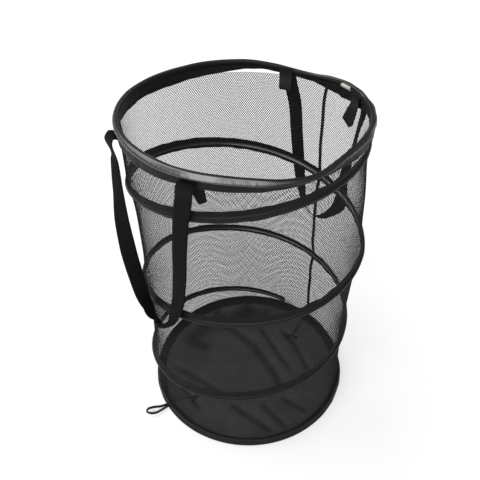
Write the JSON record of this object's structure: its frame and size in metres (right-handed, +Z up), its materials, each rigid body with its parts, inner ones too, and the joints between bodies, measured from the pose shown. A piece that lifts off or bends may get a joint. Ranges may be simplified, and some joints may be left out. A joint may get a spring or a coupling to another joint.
{
  "type": "pop-up mesh laundry hamper",
  "caption": "Round collapsible laundry basket of black netting, held open by a spring-wire spiral, with webbing carrying handles and elastic closure loops.",
  "frame": {"origin": "middle of the base, on the floor", "axes": "+Z up out of the open mouth; +X towards the right handle and the side seam; -Y towards the front"},
  "size_m": [0.4717, 0.3886, 0.6],
  "materials": {
    "tape": "satin woven tape",
    "netting": "fine knitted netting",
    "webbing": "ribbed flat webbing",
    "panel": "plain woven cloth",
    "wire": "drawn spring wire",
    "sleeve": "plain moulded",
    "elastic": "knitted elastic",
    "bar": "smooth moulded"
  },
  "bodies": {
    "base": {"base_band": "tape", "base_panel": "panel", "base_hoop": "wire", "base_hoop_ferrule": "wire", "netting_wall": "netting", "side_seam_tape": "tape", "spiral_wire": "wire", "spiral_casing": "tape", "spiral_top_cap": "sleeve", "spiral_bottom_cap": "sleeve"},
    "rim": {"rim_band": "tape", "rim_hoop": "wire", "rim_hoop_ferrule": "sleeve", "right_handle_front_tail": "webbing", "right_handle_back_tail": "webbing", "left_handle_front_tail": "webbing", "left_handle_back_tail": "webbing"},
    "right_handle": {"right_handle_strap": "webbing"},
    "left_handle": {"left_handle_strap": "webbing"},
    "right_closure": {"right_closure_loop": "elastic"},
    "left_closure": {"left_closure_loop": "elastic"},
    "right_toggle": {"right_toggle_cord": "elastic", "right_toggle_bar": "bar"},
    "left_toggle": {"left_toggle_cord": "elastic", "left_toggle_bar": "bar"}
  },
  "joints": [
    {"name": "collapse", "type": "slide", "parent": "base", "child": "rim", "axis": [0, 0, 1], "range_m": [-0.55, 0], "stiffness_N_per_m": 30, "springref_m": 0.2, "deforming": ["netting_wall", "side_seam_tape", "spiral_wire", "spiral_casing", "spiral_top_cap", "spiral_bottom_cap", "right_handle_strap", "left_handle_strap"]},
    {"name": "right_handle_swing", "type": "hinge", "parent": "rim", "child": "right_handle", "pos_m": [0.177, 0, 0.585], "axis": [0, -1, 0], "range_deg": [0, 170]},
    {"name": "left_handle_swing", "type": "hinge", "parent": "rim", "child": "left_handle", "pos_m": [-0.177, 0, 0.585], "axis": [0, 1, 0], "range_deg": [0, 170]},
    {"name": "right_closure_lift", "type": "hinge", "parent": "base", "child": "right_closure", "pos_m": [0.19408, 0.01357, 0.0053], "axis": [0.0698, -0.9976, 0], "range_deg": [0, 85]},
    {"name": "left_closure_lift", "type": "hinge", "parent": "base", "child": "left_closure", "pos_m": [-0.1916, 0.03378, 0.0053], "axis": [0.1736, 0.9848, 0], "range_deg": [0, 85]},
    {"name": "right_toggle_lift", "type": "hinge", "parent": "base", "child": "right_toggle", "pos_m": [0.1866, 0.0095, 0.01], "axis": [0, 1, 0], "range_deg": [0, 80]},
    {"name": "left_toggle_lift", "type": "hinge", "parent": "base", "child": "left_toggle", "pos_m": [-0.1822, 0.0415, 0.01], "axis": [-0.2221, -0.975, 0], "range_deg": [0, 80]}
  ]
}
